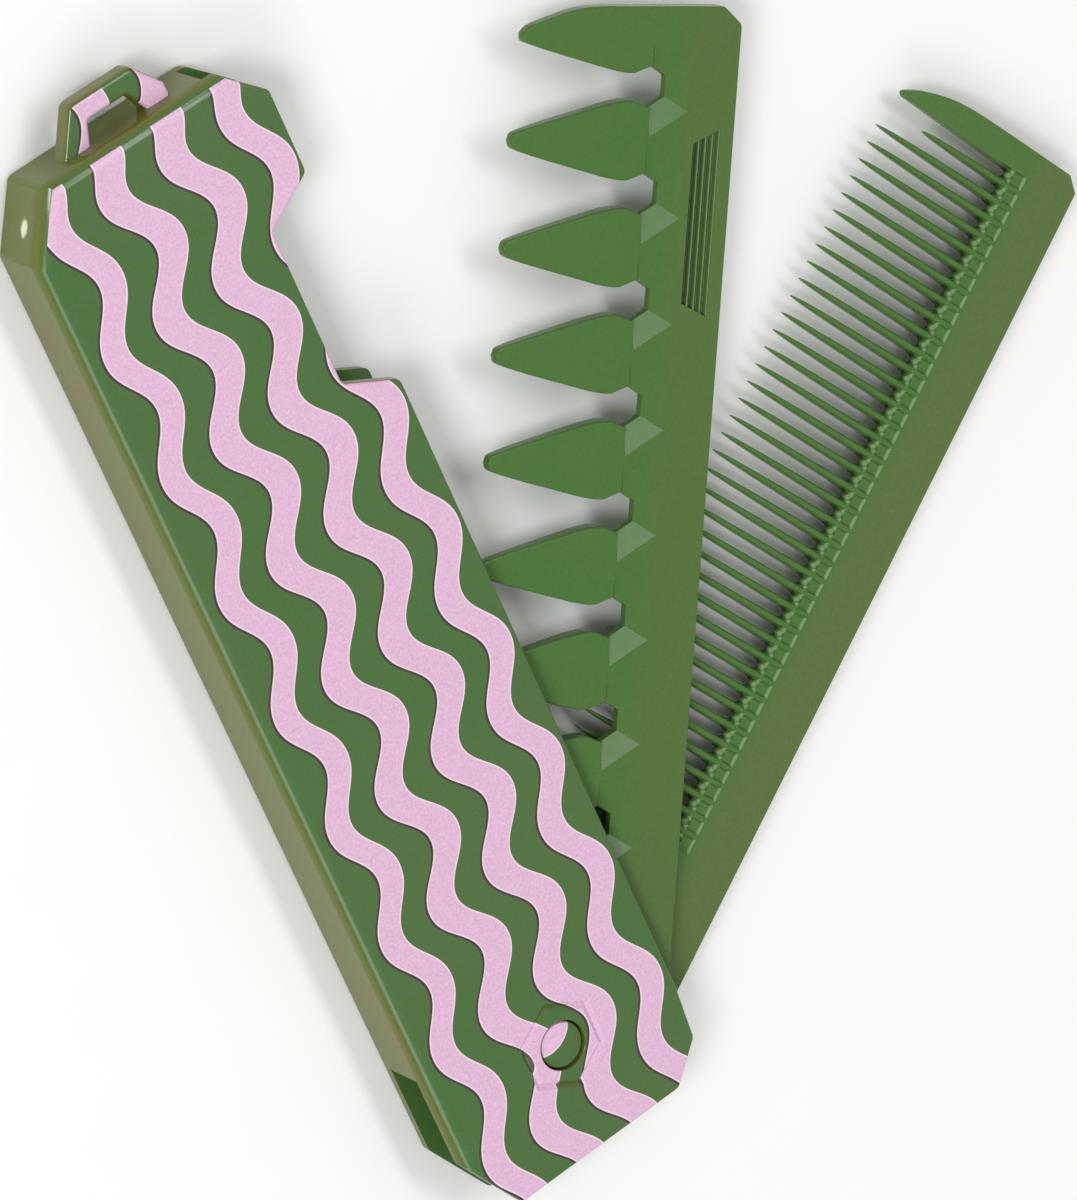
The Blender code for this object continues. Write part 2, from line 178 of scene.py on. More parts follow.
# Corners as x, y and radius, from the lower left one on, against the clock.
CASE_CORNERS = [
    (-11.6, CASE_BOTTOM, 1.0),
    (10.1, CASE_BOTTOM, 1.0),
    (14.1, -8.7, 1.0),
    (CASE_RIGHT, -2.6, 0.0),
    (CASE_RIGHT, 74.75, 1.0),
    (NOTCH_BOTTOM_X, 77.9, 0.8),
    (NOTCH_BOTTOM_X, 96.2, 0.8),
    (CASE_RIGHT, 99.6, 1.0),
    (CASE_RIGHT, 109.3, 1.0),
    (10.0, CASE_TOP, 1.0),
    (*CHAMFER_HIGH, 1.0),
    (*CHAMFER_LOW, 1.0),
    (CASE_LEFT, -4.6, 1.0),
]
RIM_ROUND = 0.35
BROAD_RIM_ROUND = 1.5
CHAMFER_RIM_ROUND = 2.0
RIM_OVERRUN = 1.5
LOOP_TOP_Y = 118.5
LOOP_FOOT_Y = 112.86
LOOP_OUTSIDE = [(-8.2, LOOP_FOOT_Y, 0.0), (-4.65, LOOP_TOP_Y, 1.0), (3.0, LOOP_TOP_Y, 1.0),
                (5.7, 115.1, 0.6), (5.8, LOOP_FOOT_Y, 0.0)]
LOOP_INSIDE = [(3.1, LOOP_FOOT_Y, 0.0), (1.55, 116.15, 0.5), (-3.4, 116.15, 0.5),
               (-4.5, LOOP_FOOT_Y, 0.0)]
LOOP_LOW_Z = 2.9
LOOP_THICK = 2.5
LOOP_ROUND = 0.65
HOLE_RADIUS = 2.75
HOLE_COLLAR = 0.12
ROUND_SIDES = 64
CUT_CLEAR = 1.0
SOCKET_DEPTH = 0.9
GROOVE_OUTER = 5.45
GROOVE_INNER = 4.45
GROOVE_DEPTH = 0.36
FACET_TILT = 0.94
FACET_TURN_DEG = 4.0

workshop = bpy.data.collections.new("cutting shapes")
bpy.context.scene.collection.children.link(workshop)
bench = bpy.context.scene.collection


def arc(radius, start, stop, steps, centre=(0.0, 0.0)):
    points = []
    for step in range(steps + 1):
        angle = math.radians(start + (stop - start) * step / steps)
        points.append((centre[0] + radius * math.cos(angle), centre[1] + radius * math.sin(angle)))
    return points


def rounded(corners, steps=8):
    """Outline of (x, y, radius) corners, each corner cut by an arc of its own radius."""
    outline = []
    count = len(corners)
    for index, (x, y, radius) in enumerate(corners):
        if radius == 0.0:
            outline.append((x, y))
            continue
        before = corners[index - 1]
        after = corners[(index + 1) % count]
        to_before = math.atan2(before[1] - y, before[0] - x)
        to_after = math.atan2(after[1] - y, after[0] - x)
        opening = (to_after - to_before + math.pi) % (2 * math.pi) - math.pi
        half = abs(opening) / 2
        bisector = to_before + opening / 2
        reach = radius / math.sin(half)
        centre = (x + reach * math.cos(bisector), y + reach * math.sin(bisector))
        sweep = math.degrees(math.pi - 2 * half)
        middle = math.degrees(bisector) + 180.0
        side = 1.0 if opening < 0 else -1.0
        outline += arc(radius, middle - side * sweep / 2, middle + side * sweep / 2, steps, centre)
    return outline


def slab(name, outline, low, thick, collection):
    """Flat moulding between two heights, drawn as a filled flat curve."""
    curve = bpy.data.curves.new(name, "CURVE")
    curve.dimensions = "2D"
    curve.fill_mode = "BOTH"
    curve.extrude = thick * MM / 2
    spline = curve.splines.new("POLY")
    spline.points.add(len(outline) - 1)
    spline.use_cyclic_u = True
    for point, (x, y) in zip(spline.points, outline):
        point.co = (x * MM, y * MM, 0.0, 1.0)
    drawn = bpy.data.objects.new(name + "_outline", curve)
    drawn.location.z = (low + thick / 2) * MM
    collection.objects.link(drawn)
    bpy.context.view_layer.update()
    mesh = bpy.data.meshes.new_from_object(drawn.evaluated_get(bpy.context.evaluated_depsgraph_get()))
    mesh.transform(drawn.matrix_world)
    bpy.data.objects.remove(drawn, do_unlink=True)
    bpy.data.curves.remove(curve)
    shape = bmesh.new()
    shape.from_mesh(mesh)
    bpy.data.meshes.remove(mesh)
    bmesh.ops.remove_doubles(shape, verts=shape.verts, dist=0.000001)
    bmesh.ops.dissolve_limit(shape, angle_limit=0.001, verts=shape.verts, edges=shape.edges)
    bmesh.ops.recalc_face_normals(shape, faces=shape.faces)
    return new_piece(name, shape, collection)


def cone(name, low_radius, high_radius, low, high, sides, centre=(0.0, 0.0)):
    """Cutting cylinder, cone or six-sided funnel standing along Z, with its first corner on +Y."""
    shape = bmesh.new()
    bmesh.ops.create_cone(shape, cap_ends=True, segments=sides, radius1=low_radius * MM,
                          radius2=high_radius * MM, depth=(high - low) * MM)
    bmesh.ops.translate(shape, verts=shape.verts,
                        vec=(centre[0] * MM, centre[1] * MM, (low + high) / 2 * MM))
    return new_piece(name, shape, workshop)


def bar(name, first_end, second_end):
    """Cutting bar with straight sides between two end outlines, whose corners are given in metres."""
    shape = bmesh.new()
    rings = [[shape.verts.new(corner) for corner in end] for end in (first_end, second_end)]
    for step in range(len(first_end)):
        after = (step + 1) % len(first_end)
        shape.faces.new((rings[0][step], rings[0][after], rings[1][after], rings[1][step]))
    for ring in rings:
        shape.faces.new(ring)
    bmesh.ops.recalc_face_normals(shape, faces=shape.faces)
    return new_piece(name, shape, workshop)


def settle(piece):
    """Fixes what the modifiers make as the piece's own mesh."""
    bpy.context.view_layer.update()
    made = bpy.data.meshes.new_from_object(piece.evaluated_get(bpy.context.evaluated_depsgraph_get()))
    piece.modifiers.clear()
    piece.data = made
    made.name = piece.name


def soften(piece, width, segments, limit_deg=60.0):
    """Rounds the edges that turn by more than the limit."""
    modifier = piece.modifiers.new("soft edges", "BEVEL")
    modifier.width = width * MM
    modifier.segments = segments
    modifier.limit_method = "ANGLE"
    modifier.angle_limit = math.radians(limit_deg)
    modifier.miter_outer = "MITER_ARC"
    settle(piece)


def cut(piece, tool, operation="DIFFERENCE"):
    """Takes the tool's shape out of the piece, or joins it on with UNION, and clears the tool away."""
    modifier = piece.modifiers.new("cut", "BOOLEAN")
    modifier.operation = operation
    modifier.solver = "EXACT"
    modifier.object = tool
    settle(piece)
    bpy.data.objects.remove(tool, do_unlink=True)


def finish_surface(piece, sharp_deg=32.0, shallow_until_x=None):
    """Smooth shading that keeps the flats flat; shallow facets left of a given x stay crisp as well."""
    piece.data.shade_smooth()
    piece.data.set_sharp_from_angle(angle=math.radians(sharp_deg))
    if shallow_until_x is not None:
        shape = bmesh.new()
        shape.from_mesh(piece.data)
        for edge in shape.edges:
            if len(edge.link_faces) == 2 and max(vert.co.x for vert in edge.verts) < shallow_until_x * MM:
                tilts = [abs(face.normal.z) for face in edge.link_faces]
                if min(tilts) > FACET_TILT and edge.calc_face_angle() > math.radians(FACET_TURN_DEG):
                    edge.smooth = False
        shape.to_mesh(piece.data)
        shape.free()
    weighted = piece.modifiers.new("flat faces stay flat", "WEIGHTED_NORMAL")
    weighted.keep_sharp = True
    weighted.weight = 90


def rim_tool(start, stop, radius):
    """What a hollow-ground rim cutter takes off along one straight top edge, the waste lying to its left."""
    along = (Vector(stop) - Vector(start)).normalized()
    outward = Vector((-along.y, along.x))
    profile = [(0.5, 0.5), (-radius, 0.5)]
    profile += arc(radius, 90.0, 0.0, 10, (-radius, -radius)) + [(0.5, -radius)]
    ends = [[(*((Vector(end) + outward * out) * MM), (CASE_THICK + up) * MM) for out, up in profile]
            for end in (start, stop)]
    return bar("rim_tool", *ends)


def hollow_outline():
    """Space between the plates, run past the open right side and the open lower end."""
    outside = 6.0
    inner_left = CASE_LEFT + WALL
    inner_top = CASE_TOP - PLATE
    return [
        (inner_left, WALL_LOWER_END),
        (inner_left, HOLLOW_CHAMFER_Y),
        (HOLLOW_CHAMFER_X, inner_top),
        (TOP_WALL_END, inner_top),
        (TOP_WALL_END, CASE_TOP + outside),
        (CASE_RIGHT + outside, CASE_TOP + outside),
        (CASE_RIGHT + outside, CASE_BOTTOM - outside),
        (CASE_LEFT - outside, CASE_BOTTOM - outside),
        (CASE_LEFT - outside, WALL_LOWER_END),
    ]


case = slab("printed_case", rounded(CASE_CORNERS), 0.0, CASE_THICK, bench)
soften(case, RIM_ROUND, segments=4)
overrun = (Vector(CHAMFER_HIGH) - Vector(CHAMFER_LOW)).normalized() * RIM_OVERRUN
cut(case, rim_tool((CASE_LEFT, CASE_BOTTOM + 3.0), (CASE_LEFT, CASE_TOP - 2.0), BROAD_RIM_ROUND))
cut(case, rim_tool(Vector(CHAMFER_LOW) - overrun, Vector(CHAMFER_HIGH) + overrun, CHAMFER_RIM_ROUND))
cut(case, rim_tool((CASE_LEFT + 2.0, CASE_TOP), (CASE_RIGHT - 1.0, CASE_TOP), BROAD_RIM_ROUND))
bail = slab("bail", rounded(LOOP_OUTSIDE + LOOP_INSIDE), LOOP_LOW_Z, LOOP_THICK, workshop)
soften(bail, LOOP_ROUND, segments=4, limit_deg=75.0)
cut(case, bail, "UNION")
cut(case, slab("hollow", hollow_outline(), PLATE, CASE_THICK - 2 * PLATE, workshop))

# The V groove round the pivot is a six-sided recess whose middle is filled up again to the front.
middle = (GROOVE_OUTER + GROOVE_INNER) / 2
cut(case, cone("boss_recess", middle, 2 * GROOVE_OUTER - middle,
               CASE_THICK - GROOVE_DEPTH, CASE_THICK + GROOVE_DEPTH, 6))
cut(case, cone("boss_plateau", 2 * middle - GROOVE_INNER, GROOVE_INNER,
               CASE_THICK - 2 * GROOVE_DEPTH, CASE_THICK, 6), "UNION")
cut(case, cone("pivot_hole", HOLE_RADIUS, HOLE_RADIUS, PLATE - SOCKET_DEPTH, CASE_THICK + CUT_CLEAR,
               ROUND_SIDES))
cut(case, cone("hole_collar", HOLE_RADIUS - HOLE_COLLAR, HOLE_RADIUS + HOLE_COLLAR,
               CASE_THICK - 1.5 * HOLE_COLLAR, CASE_THICK + 0.5 * HOLE_COLLAR, ROUND_SIDES))
finish_surface(case)


def math_node(tree, operation, *values):
    node = tree.nodes.new("ShaderNodeMath")
    node.operation = operation
    for socket, value in zip(node.inputs, values):
        feed(tree, socket, value)
    return node.outputs["Value"]


def vector_node(tree, operation, *values):
    node = tree.nodes.new("ShaderNodeVectorMath")
    node.operation = operation
    for socket, value in zip(node.inputs, values):
        feed(tree, socket, value)
    return node


def mix_colour(tree, share, first, second):
    """The first colour at share 0, the second at share 1."""
    node = tree.nodes.new("ShaderNodeMix")
    node.data_type = "RGBA"
    for index, value in ((0, share), (6, first), (7, second)):
        feed(tree, node.inputs[index], value)
    return node.outputs[2]


def new_group(name, inputs, outputs):
    """Empty node group with named sockets; returns it with its two ends."""
    group = bpy.data.node_groups.new(name, "ShaderNodeTree")
    for socket_name, kind, value in inputs:
        socket = group.interface.new_socket(socket_name, in_out="INPUT", socket_type=kind)
        if value is not None:
            socket.default_value = value
    for socket_name, kind in outputs:
        group.interface.new_socket(socket_name, in_out="OUTPUT", socket_type=kind)
    return group, group.nodes.new("NodeGroupInput"), group.nodes.new("NodeGroupOutput")


def place_group(tree, group, **inputs):
    """Places a node group in a material, with its own values for the named inputs."""
    node = tree.nodes.new("ShaderNodeGroup")
    node.node_tree = group
    for name, value in inputs.items():
        feed(tree, node.inputs[name.replace("_", " ")], value)
    return node


# Moulded plastic: a slow drift between two greens, fine speckle, a painted tone on upright walls and steep
# rims (painted warm reflection on the case, painted shade on the blades), and the faint orange peel of a
# polished mould.
moulded, start, end = new_group(
    "moulded plastic",
    [("Place", "NodeSocketVector", None), ("Facing", "NodeSocketVector", None),
     ("Green", "NodeSocketColor", (0.07, 0.17, 0.05, 1.0)),
     ("Warm green", "NodeSocketColor", (0.1, 0.17, 0.06, 1.0)),
     ("Wall", "NodeSocketColor", (0.14, 0.125, 0.012, 1.0)),
     ("Wall green", "NodeSocketColor", (0.112, 0.142, 0.012, 1.0)), ("Wall share", "NodeSocketFloat", 0.85)],
    [("Colour", "NodeSocketColor"), ("Roughness", "NodeSocketFloat"), ("Height", "NodeSocketFloat")])
drift = noise(moulded, start.outputs["Place"], scale=45.0, detail=1.5)
body_colour = mix_colour(moulded, ramp(moulded, drift, 0.38, 0.62), start.outputs["Green"],
                         start.outputs["Warm green"])
# Upright walls and steep rims take the Wall colours: as given here a painted warm reflection, and painted
# shade where a darker green is given.
wall_drift = noise(moulded, start.outputs["Place"], scale=120.0, detail=1.0)
wall_reflection_and_shade = mix_colour(moulded, ramp(moulded, wall_drift, 0.35, 0.65), start.outputs["Wall"],
                         start.outputs["Wall green"])
facing = shader_node(moulded, "ShaderNodeSeparateXYZ", Vector=start.outputs["Facing"])
upright = math_node(moulded, "SUBTRACT", 1.0, math_node(moulded, "ABSOLUTE", facing.outputs["Z"]))
wall_light_share = math_node(moulded, "MULTIPLY", ramp(moulded, upright, 0.15, 0.45), start.outputs["Wall share"])
body_colour = mix_colour(moulded, wall_light_share, body_colour, wall_reflection_and_shade)
speck = noise(moulded, start.outputs["Place"], scale=3500.0, detail=3.0)
speck = ramp(moulded, speck, 0.3, 0.7, at_low=0.94, at_high=1.06)
speck_scale = shader_node(moulded, "ShaderNodeCombineXYZ", X=speck, Y=speck, Z=speck)
speckled = vector_node(moulded, "MULTIPLY", body_colour, speck_scale.outputs["Vector"])
peel = noise(moulded, start.outputs["Place"], scale=900.0)
feed(moulded, end.inputs["Colour"], speckled.outputs["Vector"])
feed(moulded, end.inputs["Roughness"], ramp(moulded, peel, 0.0, 1.0, at_low=0.15, at_high=0.27))
feed(moulded, end.inputs["Height"], peel)

# Wavy print: four pink stripes along the case, each a wave of the same length with its own swing, on a
# dark ink that shows as a line along their left edges and, thinner, along their right edges.
WAVE_LENGTH = 14.44
WAVE_CREST_Y = 0.35
WAVE_LEAN = 0.014
WAVE_DRIFT = 0.3
WAVE_DRIFT_LENGTH = 100.0
WAVE_FLAT = -0.017
MEAN_SWING = 1.7
STRIPES = [
    {"centre": -10.94, "half": 1.56, "swing": 1.5},
    {"centre": -3.75, "half": 1.89, "swing": 1.84},
    {"centre": 3.79, "half": 1.89, "swing": 1.82},
    {"centre": 10.92, "half": 1.65, "swing": 1.54},
]
STRIPE_PINCH = 0.062
PRINT_SPREAD = 0.00013
PRINT_SPREAD_FROM_Y = 50.0
PRINT_SINK = 0.4
PRINT_SLIP = 0.2
PRINT_BEND_Y = 110.3
PRINT_BEND = 0.17
PRINT_LOWEST_Z = 4.9
PINK_EDGE = 0.025
LINE_EDGE = 0.03
LINE_SHIFT = 0.12
LINE_GROW = 0.18
HALO_START = 0.05
HALO_WIDTH = 0.22
HALO_STRENGTH = 0.85
BOSS_REACH = 6.2
RIM_LEAN = 0.15

wave_print, start, end = new_group(
    "wavy print",
    [("Place", "NodeSocketVector", None), ("Facing", "NodeSocketVector", None),
     ("Plastic", "NodeSocketColor", (0.07, 0.17, 0.05, 1.0)),
     ("Pink", "NodeSocketColor", (0.62, 0.36, 0.545, 1.0)),
     ("Pale pink", "NodeSocketColor", (0.77, 0.525, 0.695, 1.0)),
     ("Line", "NodeSocketColor", (0.06, 0.03, 0.045, 1.0)),
     ("Halo", "NodeSocketColor", (0.85, 0.76, 0.76, 1.0))],
    [("Colour", "NodeSocketColor"), ("Ink", "NodeSocketFloat")])


def wave_math(operation, *values):
    """One step of the sums in the print's node group."""
    return math_node(wave_print, operation, *values)


millimetres = vector_node(wave_print, "SCALE", start.outputs["Place"])
millimetres.inputs["Scale"].default_value = 1.0 / MM
spot = shader_node(wave_print, "ShaderNodeSeparateXYZ", Vector=millimetres.outputs["Vector"])
spot_x, spot_y, spot_z = spot.outputs["X"], spot.outputs["Y"], spot.outputs["Z"]
sunk = wave_math("SUBTRACT", CASE_THICK, spot_z)

# How far along the wave a spot lies: the wave leans a little, drifts, bends back near the top edge and
# slips where the ink runs down over a rim.
along = wave_math("MULTIPLY_ADD", spot_x, -WAVE_LEAN, spot_y)
slow_turn = wave_math("MULTIPLY", spot_y, 2 * math.pi / WAVE_DRIFT_LENGTH)
along = wave_math("MULTIPLY_ADD", wave_math("COSINE", slow_turn), -WAVE_DRIFT, along)
past_bend = wave_math("MAXIMUM", wave_math("SUBTRACT", spot_y, PRINT_BEND_Y), 0.0)
bend = wave_math("MULTIPLY", wave_math("MULTIPLY", past_bend, past_bend),
                 wave_math("LESS_THAN", spot_y, CASE_TOP))
along = wave_math("MULTIPLY_ADD", bend, -PRINT_BEND, along)
along = wave_math("MULTIPLY_ADD", sunk, -PRINT_SINK, along)
turn = wave_math("MULTIPLY", wave_math("SUBTRACT", along, WAVE_CREST_Y), 2 * math.pi / WAVE_LENGTH)
second_wave = wave_math("COSINE", wave_math("MULTIPLY", turn, 2.0))
third_wave = wave_math("COSINE", wave_math("MULTIPLY", turn, 3.0))
wave = wave_math("MULTIPLY_ADD", third_wave, WAVE_FLAT, wave_math("COSINE", turn))
steep = wave_math("MULTIPLY", wave_math("SINE", turn), MEAN_SWING * 2 * math.pi / WAVE_LENGTH)
slant = wave_math("INVERSE_SQRT", wave_math("MULTIPLY_ADD", steep, steep, 1.0))

# How deep inside a stripe, and inside its line, a spot lies.
spread = wave_math("MULTIPLY", wave_math("ADD", spot_x, -STRIPES[0]["centre"]),
                   wave_math("MULTIPLY_ADD", spot_y, -PRINT_SPREAD, PRINT_SPREAD_FROM_Y * PRINT_SPREAD))
across = wave_math("MULTIPLY_ADD", sunk, PRINT_SLIP, wave_math("ADD", spot_x, spread))
inside = -100.0
inside_line = -100.0
for stripe in STRIPES:
    middle = wave_math("MULTIPLY_ADD", wave, stripe["swing"], stripe["centre"])
    offset = wave_math("SUBTRACT", across, middle)
    half = wave_math("MULTIPLY_ADD", second_wave, -STRIPE_PINCH, stripe["half"])
    inside = wave_math("MAXIMUM", inside, wave_math("SUBTRACT", half, wave_math("ABSOLUTE", offset)))
    shifted = wave_math("ABSOLUTE", wave_math("ADD", offset, LINE_SHIFT))
    line_depth = wave_math("SUBTRACT", wave_math("ADD", half, LINE_GROW), shifted)
    inside_line = wave_math("MAXIMUM", inside_line, line_depth)
inside = wave_math("MULTIPLY", inside, slant)
inside_line = wave_math("MULTIPLY", inside_line, slant)
pink_share = ramp(wave_print, inside, -PINK_EDGE, PINK_EDGE)
line_share = ramp(wave_print, inside_line, -LINE_EDGE, LINE_EDGE)
halo_share = ramp(wave_print, inside, HALO_START, HALO_WIDTH, at_low=HALO_STRENGTH, at_high=0.0)

# The ink lies on level faces of the front half, and also on steeper ones in the groove round the pivot
# and on the right and lower rims.
facing = shader_node(wave_print, "ShaderNodeSeparateXYZ", Vector=start.outputs["Facing"])
level = ramp(wave_print, facing.outputs["Z"], 0.87, 0.89)
slope = ramp(wave_print, facing.outputs["Z"], 0.3, 0.72)
flat_spot = shader_node(wave_print, "ShaderNodeCombineXYZ", X=spot_x, Y=spot_y)
from_pivot = vector_node(wave_print, "LENGTH", flat_spot.outputs["Vector"])
near_pivot = wave_math("LESS_THAN", from_pivot.outputs["Value"], BOSS_REACH)
right_rim = wave_math("GREATER_THAN", facing.outputs["X"], RIM_LEAN)
lower_rim = wave_math("LESS_THAN", facing.outputs["Y"], -RIM_LEAN)
slope_counts = wave_math("MAXIMUM", near_pivot, wave_math("MAXIMUM", right_rim, lower_rim))
takes_ink = wave_math("MAXIMUM", level, wave_math("MULTIPLY", slope, slope_counts))
front = ramp(wave_print, spot_z, PRINT_LOWEST_Z, PRINT_LOWEST_Z + 0.1)
printed = wave_math("MULTIPLY", takes_ink, front)

mottle = noise(wave_print, start.outputs["Place"], scale=3600.0, detail=3.0, roughness=0.6)
pink = mix_colour(wave_print, ramp(wave_print, mottle, 0.25, 0.75), start.outputs["Pink"],
                  start.outputs["Pale pink"])
pink = mix_colour(wave_print, halo_share, pink, start.outputs["Halo"])
pink_here = wave_math("MULTIPLY", pink_share, printed)
line_here = wave_math("MULTIPLY", line_share, printed)
under = mix_colour(wave_print, line_here, start.outputs["Plastic"], start.outputs["Line"])
feed(wave_print, end.inputs["Colour"], mix_colour(wave_print, pink_here, under, pink))
feed(wave_print, end.inputs["Ink"], pink_here)

CASE_GREEN = (0.057, 0.144, 0.033, 1.0)
CASE_WARM_GREEN = (0.069, 0.144, 0.038, 1.0)
INK_ROUGHER = 0.18
INK_HEIGHT = 0.6
PALE_SPOT_PLACE = (-14.16, 109.95, 4.65)
PALE_SPOT_TURN_DEG = 56.7
PALE_SPOT_SIZE = (1.15, 0.4, 0.75)
PALE_SPOT_RAGGED = 0.7
PALE_SPOT_DEPTH = 1.5
PALE_SPOT_COLOUR = (0.78, 0.84, 0.6, 1.0)
RELIEF_STRENGTH = 0.25
RELIEF_HEIGHT = 0.00002
PLASTIC_IOR = 1.5


def finish_plastic(tree, shader, colour, roughness, height):
    """Leads a moulded surface's colour, gloss and faint relief to its shader."""
    feed(tree, shader.inputs["Base Color"], colour)
    feed(tree, shader.inputs["Roughness"], roughness)
    relief = shader_node(tree, "ShaderNodeBump", Height=height, Strength=RELIEF_STRENGTH,
                         Distance=RELIEF_HEIGHT)
    feed(tree, shader.inputs["Normal"], relief.outputs["Normal"])
    shader.inputs["IOR"].default_value = PLASTIC_IOR


def printed_plastic(name, pale_spot=False):
    """Moulded plastic with the wavy print on its front, and on the case a small pale spot with a shallow
    dip.
    """
    made, tree, shader = new_material(name)
    place = shader_node(tree, "ShaderNodeTexCoord")
    body = place_group(tree, moulded, Place=place.outputs["Object"], Facing=place.outputs["Normal"],
                       Green=CASE_GREEN, Warm_green=CASE_WARM_GREEN)
    ink = place_group(tree, wave_print, Place=place.outputs["Object"], Facing=place.outputs["Normal"],
                      Plastic=body.outputs["Colour"])
    colour = ink.outputs["Colour"]
    roughness = math_node(tree, "MULTIPLY_ADD", ink.outputs["Ink"], INK_ROUGHER, body.outputs["Roughness"])
    height = math_node(tree, "MULTIPLY_ADD", ink.outputs["Ink"], INK_HEIGHT, body.outputs["Height"])
    if pale_spot:
        # A small ragged pale spot with a shallow dip on the case's chamfer wall.
        around = shader_node(tree, "ShaderNodeMapping", Vector=place.outputs["Object"],
                             Location=[value * MM for value in PALE_SPOT_PLACE],
                             Rotation=(0.0, 0.0, math.radians(PALE_SPOT_TURN_DEG)),
                             Scale=[value * MM for value in PALE_SPOT_SIZE])
        around.vector_type = "TEXTURE"
        reach = vector_node(tree, "LENGTH", around.outputs["Vector"])
        ragged = noise(tree, place.outputs["Object"], scale=1500.0)
        edge = math_node(tree, "MULTIPLY_ADD", ragged, PALE_SPOT_RAGGED, reach.outputs["Value"])
        pale_spot_share = ramp(tree, edge, 0.95, 1.35, at_low=0.9, at_high=0.0)
        colour = mix_colour(tree, pale_spot_share, colour, PALE_SPOT_COLOUR)
        height = math_node(tree, "MULTIPLY_ADD", pale_spot_share, -PALE_SPOT_DEPTH, height)
    finish_plastic(tree, shader, colour, roughness, height)
    return made


def dress(piece, material):
    piece.data.materials.clear()
    piece.data.materials.append(material)


dress(case, printed_plastic("printed case plastic", pale_spot=True))
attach(case, "case")
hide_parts("case")

# Fine comb with the pivot stud
# One moulded blade lying next to the back plate: a broad guard tooth, a short tooth, then even fine teeth
# whose roots run into scooped grooves. The stud that both combs turn on stands on its heel.
BLADE_THICK = 2.1
HEEL_RADIUS = 11.6
TEETH_FROM_Y = 18.0
FINE_LOW_Z = 1.7
FINE_OPEN_DEG = 57.7
FINE_SPINE_X = 13.3
FINE_TOP = 108.05
FINE_CORNER = {"run": 1.7, "drop": 1.45, "radius": 0.35}
FINE_PITCH = 2.03
FINE_FIRST_SLOT = 104.4
FINE_SLOTS = 40
SLOT_END_X = 4.25
FINE_TIP_X = -13.3
SHORT_TIP_X = -7.6
FINE_TIP_THICK = 0.5
# Half widths of a fine tooth, as shares of the way from its root to its tip.
FINE_TOOTH = [(0.0, 0.465), (0.45, 0.39), (0.8, 0.28), (0.95, 0.16), (1.0, 0.05)]
TOOTH_SIDES = 16
TOOTH_FLANK_CURVE = 0.8
TOOTH_BACK_CURVE = 0.55
TOOTH_POINT_HALF = 0.25
RIB_END = 6.9
TIP_LEAN = 0.2
TROUGH_START = 2.25
TROUGH_FLAT_END = 6.3
TROUGH_END = 6.68
TROUGH_FLOOR = 0.34
TROUGH_LIFT = 0.2
TROUGH_TOP_Y = 105.2
SCOOP_X = 3.9
SCOOP_REACH = 1.35
SCOOP_DEPTH = 1.0
GUARD_TOOTH = [(-1.8, 108.38), (-4.2, 108.33), (-6.8, 108.05), (-10.0, 107.25), (-11.9, 106.4),
               (-12.3, 105.95), (-11.9, 105.55)]
FINE_LAST_EDGE_X = -11.6
FINE_LAST_STEPS = [(1.1, -0.1), (0.0, 1.0), (0.0, 3.0)]
STUD_RADIUS = 2.56
STUD_TOP = 7.95
STUD_FOOT = 1.0
# The stud's domed end, as radius and drop below its top.
STUD_DOME = [(0.0, 0.0), (0.9, 0.02), (1.6, 0.07), (2.05, 0.14), (2.42, 0.24), (STUD_RADIUS, 0.45)]


def spine_edge(spine_x, top_y, run, drop, radius):
    """Back edge of a comb from its heel up to and round its cut-off top corner."""
    inside = spine_x - 2 * run
    turned = rounded([(inside, -1.0, 0.0), (spine_x, -1.0, 0.0), (spine_x, top_y - drop, radius),
                      (spine_x - run, top_y, radius), (inside, top_y, 0.0)], 6)
    return turned[1:-1]


def eased(points, steps=5):
    """Smooth curve through the points, with the given steps between each two."""
    line = []
    for index in range(len(points) - 1):
        p0 = points[max(index - 1, 0)]
        p1 = points[index]
        p2 = points[index + 1]
        p3 = points[min(index + 2, len(points) - 1)]
        for step in range(steps):
            t = step / steps
            line.append(tuple(
                0.5 * (2 * b + (c - a) * t + (2 * a - 5 * b + 4 * c - d) * t * t
                       + (3 * b - a - 3 * c + d) * t * t * t)
                for a, b, c, d in zip(p0, p1, p2, p3)))
    return line + [points[-1]]


def heel():
    """Lower end of a comb, round the pivot, from the tooth side to the spine side."""
    return arc(HEEL_RADIUS, 140.0, 315.0, 30)


def thin_towards_tips(piece, neck_x, tip_x, tip_share, middle_z):
    """Wedges the teeth: full thickness at the neck, tip_share of it at the tip."""
    shape = bmesh.new()
    shape.from_mesh(piece.data)
    every = shape.verts[:] + shape.edges[:] + shape.faces[:]
    bmesh.ops.bisect_plane(shape, geom=every, plane_co=(neck_x * MM, 0, 0), plane_no=(1, 0, 0),
                           dist=0.0000005)
    for vert in shape.verts:
        share = (neck_x * MM - vert.co.x) / ((neck_x - tip_x) * MM)
        if share > 0.0 and vert.co.y > TEETH_FROM_Y * MM:
            scale = 1.0 - (1.0 - tip_share) * min(share, 1.0)
            vert.co.z = middle_z * MM + (vert.co.z - middle_z * MM) * scale
    shape.to_mesh(piece.data)
    shape.free()


def fine_outline():
    """The blade without its even teeth: guard tooth, rounded slot ends, last edge and heel."""
    outline = spine_edge(FINE_SPINE_X, FINE_TOP, **FINE_CORNER) + eased(GUARD_TOOTH)
    half_slot = FINE_PITCH / 2 - FINE_TOOTH[0][1]
    for slot in range(FINE_SLOTS):
        slot_y = FINE_FIRST_SLOT - FINE_PITCH * slot
        outline += arc(half_slot, 90.0, -90.0, 8, (SLOT_END_X - half_slot, slot_y))
    last_y = FINE_FIRST_SLOT - FINE_PITCH * (FINE_SLOTS - 1) - FINE_PITCH / 2
    for step_x, step_y in FINE_LAST_STEPS:
        outline.append((FINE_LAST_EDGE_X + step_x, last_y - step_y))
    return outline + heel()


